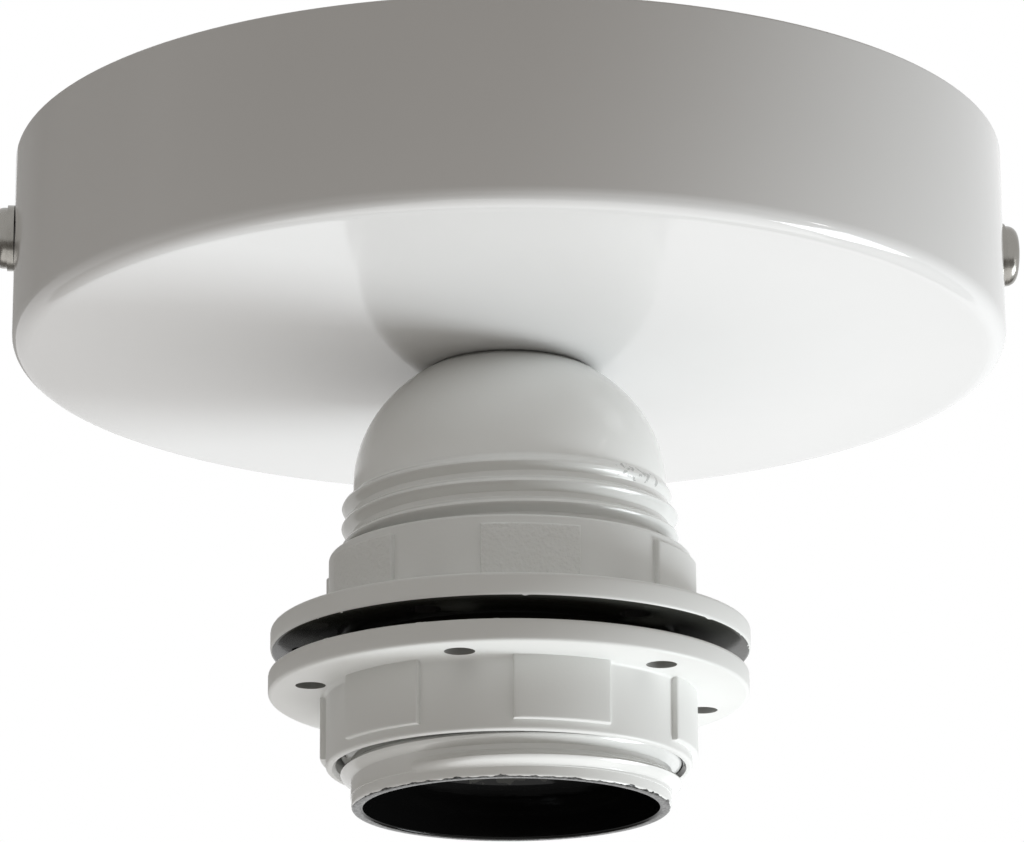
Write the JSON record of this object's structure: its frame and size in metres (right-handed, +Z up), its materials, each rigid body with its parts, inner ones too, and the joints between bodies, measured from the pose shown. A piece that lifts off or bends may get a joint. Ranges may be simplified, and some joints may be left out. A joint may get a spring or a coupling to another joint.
{
  "type": "ceiling lamp holder",
  "caption": "White ceiling rose carrying a dome-topped E27 screw lamp holder with a coarse barrel thread and a pair of shade rings.",
  "frame": {"origin": "centre of the ceiling plane: the middle of the bracket's slot pattern, level with the open rim of the ceiling rose", "axes": "+Z up into the ceiling along the axis of the rose and lamp holder, X along the mounting bracket through the two side screws, the lamp mouth points to -Z"},
  "size_m": [0.125, 0.12, 0.0797],
  "materials": {
    "white_painted_steel": "gloss white powder coat",
    "zinc_plated_steel": "bright zinc plate",
    "nickel_plated_steel": "bright nickel plate",
    "tinned_brass": "tin plate over brass",
    "brass": "plain brass",
    "natural_polyamide": "satin moulded",
    "white_painted_bakelite": "gloss white paint over black bakelite",
    "white_painted_ring": "satin white paint over black bakelite",
    "black_bakelite": "gloss moulded"
  },
  "bodies": {
    "holder_body": {"ceiling_rose": "white_painted_steel", "mounting_bracket": "zinc_plated_steel", "side_screws": "nickel_plated_steel", "side_screw_washers": "nickel_plated_steel", "earth_screw": "zinc_plated_steel", "earth_tag": "tinned_brass", "threaded_nipple": "zinc_plated_steel", "lock_washer": "zinc_plated_steel", "nipple_nut": "zinc_plated_steel", "terminal_block_body": "natural_polyamide", "terminal_block_sleeves": "brass", "terminal_block_screws": "zinc_plated_steel", "holder_dome": "white_painted_bakelite", "dome_bush": "brass", "holder_skirt": "white_painted_bakelite", "contact_carrier": "black_bakelite", "terminal_posts": "brass", "post_screws": "zinc_plated_steel", "contact_rivets": "brass"},
    "upper_ring": {"upper_ring": "white_painted_ring"},
    "lower_ring": {"lower_ring": "white_painted_ring"},
    "centre_contact": {"centre_contact": "brass"},
    "side_contact": {"side_contact": "brass"}
  },
  "joints": [
    {"name": "upper_ring_travel", "type": "slide", "parent": "holder_body", "child": "upper_ring", "axis": [0, 0, 1], "range_m": [0, 0.0065]},
    {"name": "lower_ring_travel", "type": "slide", "parent": "holder_body", "child": "lower_ring", "axis": [0, 0, 1], "range_m": [-0.0145, 0.0024]},
    {"name": "centre_contact_flex", "type": "hinge", "parent": "holder_body", "child": "centre_contact", "pos_m": [0.01, 0, -0.0481], "axis": [0, 1, 0], "range_deg": [0, 6.5], "stiffness_Nm_per_rad": 0.4},
    {"name": "side_contact_flex", "type": "hinge", "parent": "holder_body", "child": "side_contact", "pos_m": [-0.01335, 0, -0.0481], "axis": [0, 1, 0], "range_deg": [0, 3.5], "stiffness_Nm_per_rad": 0.3}
  ]
}
